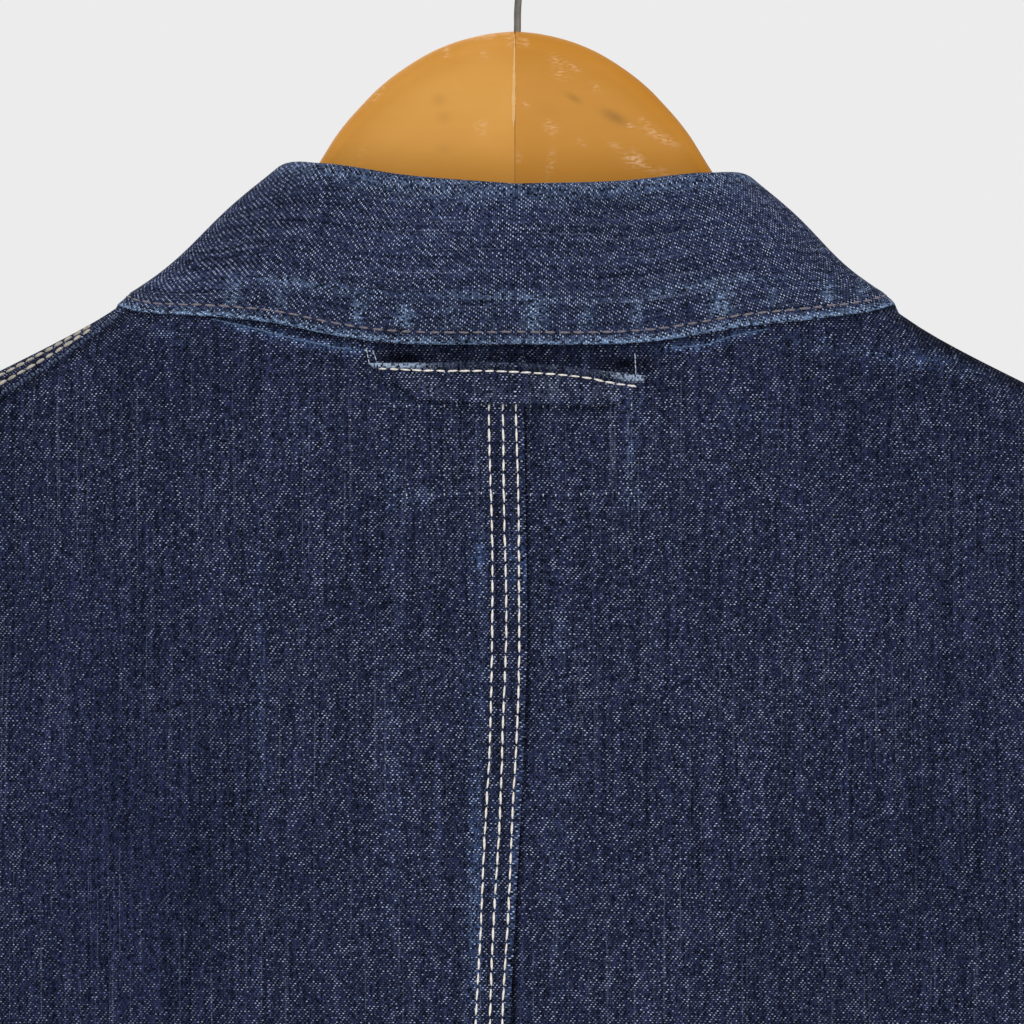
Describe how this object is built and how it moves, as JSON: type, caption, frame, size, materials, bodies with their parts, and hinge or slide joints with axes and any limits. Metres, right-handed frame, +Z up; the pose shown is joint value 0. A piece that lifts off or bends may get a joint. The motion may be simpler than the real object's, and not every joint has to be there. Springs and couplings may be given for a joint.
{
  "type": "denim work jacket on a wooden hanger",
  "caption": "Hip-length indigo denim work jacket with a turned-down collar, centre back seam and hang loop, buttoned up on a contoured wooden hanger with a wire hook.",
  "frame": {"origin": "inside top of the hook, where the rail carries it", "axes": "+Z up; the jacket's front faces -Y and its back +Y; +X is the wearer's left"},
  "size_m": [0.7258, 0.1337, 0.853],
  "materials": {
    "denim": "matte",
    "collar_denim": "matte",
    "varnished_wood": "satin",
    "steel_wire": "satin",
    "button_metal": "satin"
  },
  "bodies": {
    "root": {"back_left": "denim", "front_left": "denim", "sleeve_left": "denim", "hanger_board_left": "varnished_wood", "back_right": "denim", "front_right": "denim", "sleeve_right": "denim", "hanger_board_right": "varnished_wood", "collar_leaf": "collar_denim", "collar_stand": "collar_denim", "hang_loop": "denim", "hanger_hook": "steel_wire", "button_1": "button_metal", "button_2": "button_metal", "button_3": "button_metal", "button_4": "button_metal", "button_5": "button_metal"}
  },
  "joints": []
}
